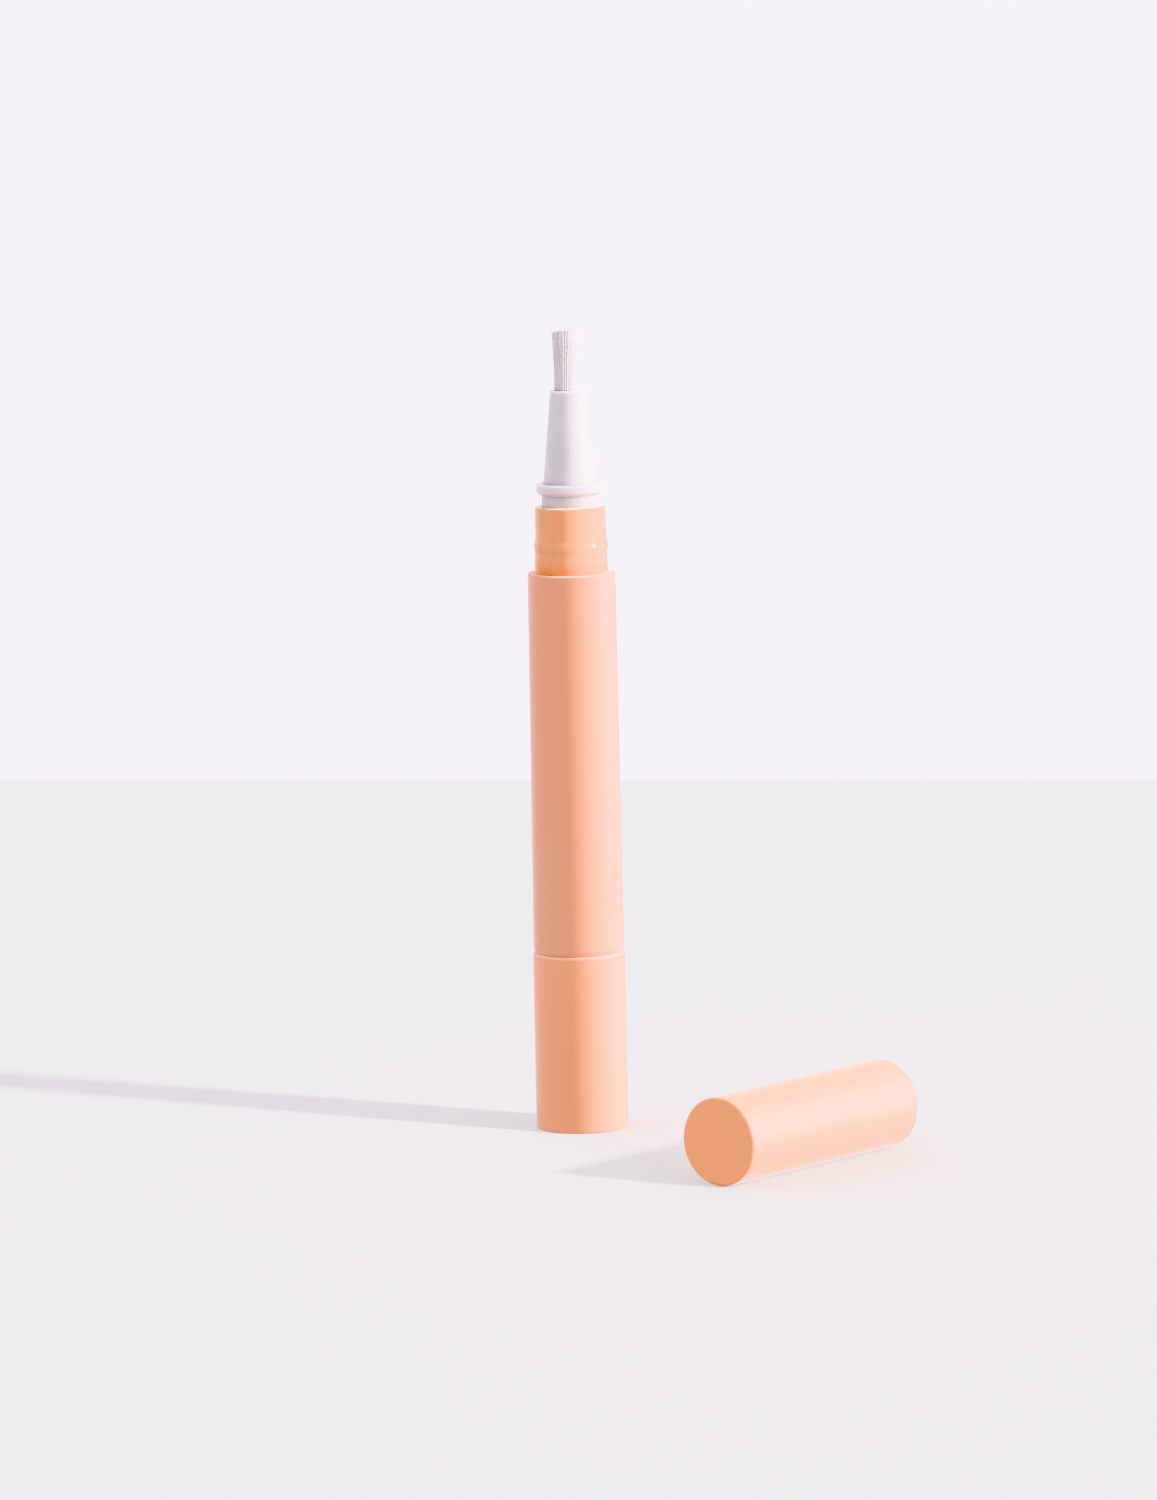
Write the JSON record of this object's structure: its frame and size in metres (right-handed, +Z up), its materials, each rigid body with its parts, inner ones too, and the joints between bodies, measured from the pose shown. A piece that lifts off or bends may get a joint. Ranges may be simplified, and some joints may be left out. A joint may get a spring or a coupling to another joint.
{
  "type": "nail oil pen",
  "caption": "Twist-up nail oil pen standing on its turning knob, with a white nozzle, a soft brush tip and its cap lying beside it.",
  "frame": {"origin": "centre of the knob's flat foot, which the pen stands on", "axes": "+Z up along the pen's axis from knob to brush; +Y along the axis of the cap that lies beside it at +X, out of the cap's mouth"},
  "size_m": [0.061, 0.0386, 0.1185],
  "materials": {
    "satin_peach": "satin soft-touch moulded plastic",
    "gloss_peach": "glossy moulded plastic",
    "milk_white": "smooth milky moulded plastic",
    "brush_hair": "fine synthetic filaments",
    "clear_white": "natural unpigmented moulded plastic",
    "drive_ivory": "low-friction moulded plastic",
    "spindle_blue": "low-friction moulded plastic",
    "seal_grey": "soft moulded rubber"
  },
  "bodies": {
    "barrel": {"barrel_sleeve": "satin_peach", "reservoir_tube": "gloss_peach", "ratchet_ring": "drive_ivory", "spindle_guide": "drive_ivory", "nozzle": "milk_white", "nozzle_seal_ring": "seal_grey", "feed_holder": "clear_white", "feed_tube": "clear_white", "brush_ferrule": "clear_white", "brush_tuft": "brush_hair"},
    "knob": {"knob_shell": "satin_peach", "knob_plug": "satin_peach", "driver_sleeve": "drive_ivory", "drag_ring": "seal_grey", "drive_nut": "drive_ivory", "click_ring": "clear_white"},
    "plunger": {"spindle": "spindle_blue", "piston": "milk_white", "piston_ring": "seal_grey"},
    "cap": {"cap_shell": "satin_peach", "cap_liner": "milk_white"}
  },
  "joints": [
    {"name": "knob_turn", "type": "hinge", "parent": "barrel", "child": "knob", "pos_m": [0, 0, 0], "axis": [0, 0, 1], "range_deg": [0, 2520]},
    {"name": "plunger_rise", "type": "slide", "parent": "barrel", "child": "plunger", "axis": [0, 0, 1], "range_m": [0, 0.028]},
    {"name": "cap_lift", "type": "slide", "parent": "barrel", "child": "cap", "axis": [0, 0, 1], "range_m": [0, 0.06]}
  ],
  "couplings": [
    {"joint": "plunger_rise", "follows": "knob_turn", "m_per_rad": 0.00063662}
  ]
}
